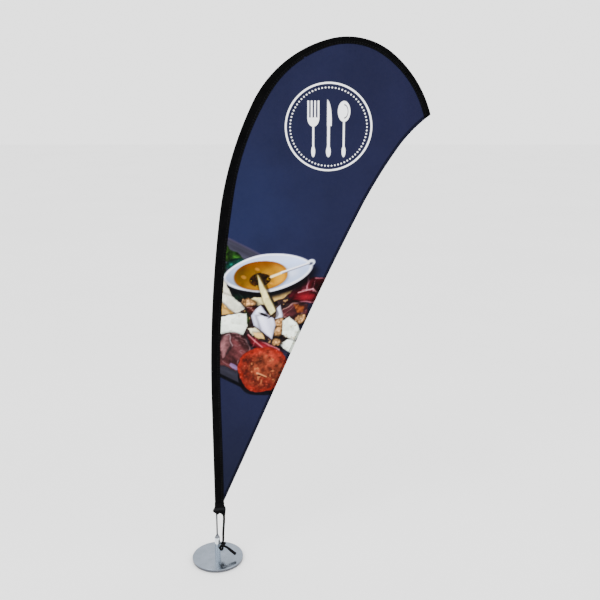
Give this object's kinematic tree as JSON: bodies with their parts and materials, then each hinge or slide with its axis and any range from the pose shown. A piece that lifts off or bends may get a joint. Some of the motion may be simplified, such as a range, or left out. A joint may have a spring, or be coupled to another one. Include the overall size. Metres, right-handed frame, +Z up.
{
  "type": "tabletop teardrop flag",
  "caption": "Tabletop teardrop flag: a printed fabric panel on a bent pole in a polished post, turning on a round disc base, held down by an elastic cord.",
  "frame": {"origin": "on the post's axis, on the underside of the base pad, where the flag stands on a table", "axes": "+Z up along the post, +X from the pole towards the flag's free tip, +Y behind the printed face"},
  "size_m": [0.2616, 0.06, 0.5936],
  "materials": {
    "pad": "fine-celled foam rubber, matte",
    "polished_base": "mirror polished chrome plate",
    "nylon": "natural nylon",
    "screw_steel": "zinc plated",
    "polished_post": "mirror polished chrome plate",
    "eye_wire": "dark nickel wire",
    "pole_steel": "drawn spring steel rod",
    "ferrule_brass": "drawn tube",
    "cap_rubber": "moulded, matte",
    "sleeve_fabric": "black knitted polyester, matte, sewn",
    "cuff_fabric": "black polyester binding, folded and stitched",
    "panel_fabric": "dye-printed knitted polyester with a navy ground",
    "elastic_cord": "braided elastic cord, black"
  },
  "bodies": {
    "base": {"base_pad": "pad", "base_disc": "polished_base", "swivel_washer": "nylon"},
    "post": {"post_screw": "screw_steel", "post": "polished_post", "cord_eye": "eye_wire", "tension_cord": "elastic_cord", "cord_knot": "elastic_cord", "cord_tail": "elastic_cord"},
    "pole": {"pole_lower": "pole_steel", "pole_ferrule": "ferrule_brass", "pole_upper": "pole_steel", "pole_tip_cap": "cap_rubber", "pole_sleeve": "sleeve_fabric", "sleeve_cuff": "cuff_fabric", "flag_panel": "panel_fabric"}
  },
  "joints": [
    {"name": "flag_swivel", "type": "hinge", "parent": "base", "child": "post", "pos_m": [0, 0, 0.0044], "axis": [0, 0, 1], "continuous": true},
    {"name": "pole_lift", "type": "slide", "parent": "post", "child": "pole", "axis": [0, 0, 1], "range_m": [0, 0.02], "stiffness_N_per_m": 200, "springref_m": -0.006, "deforming": ["tension_cord"]}
  ]
}
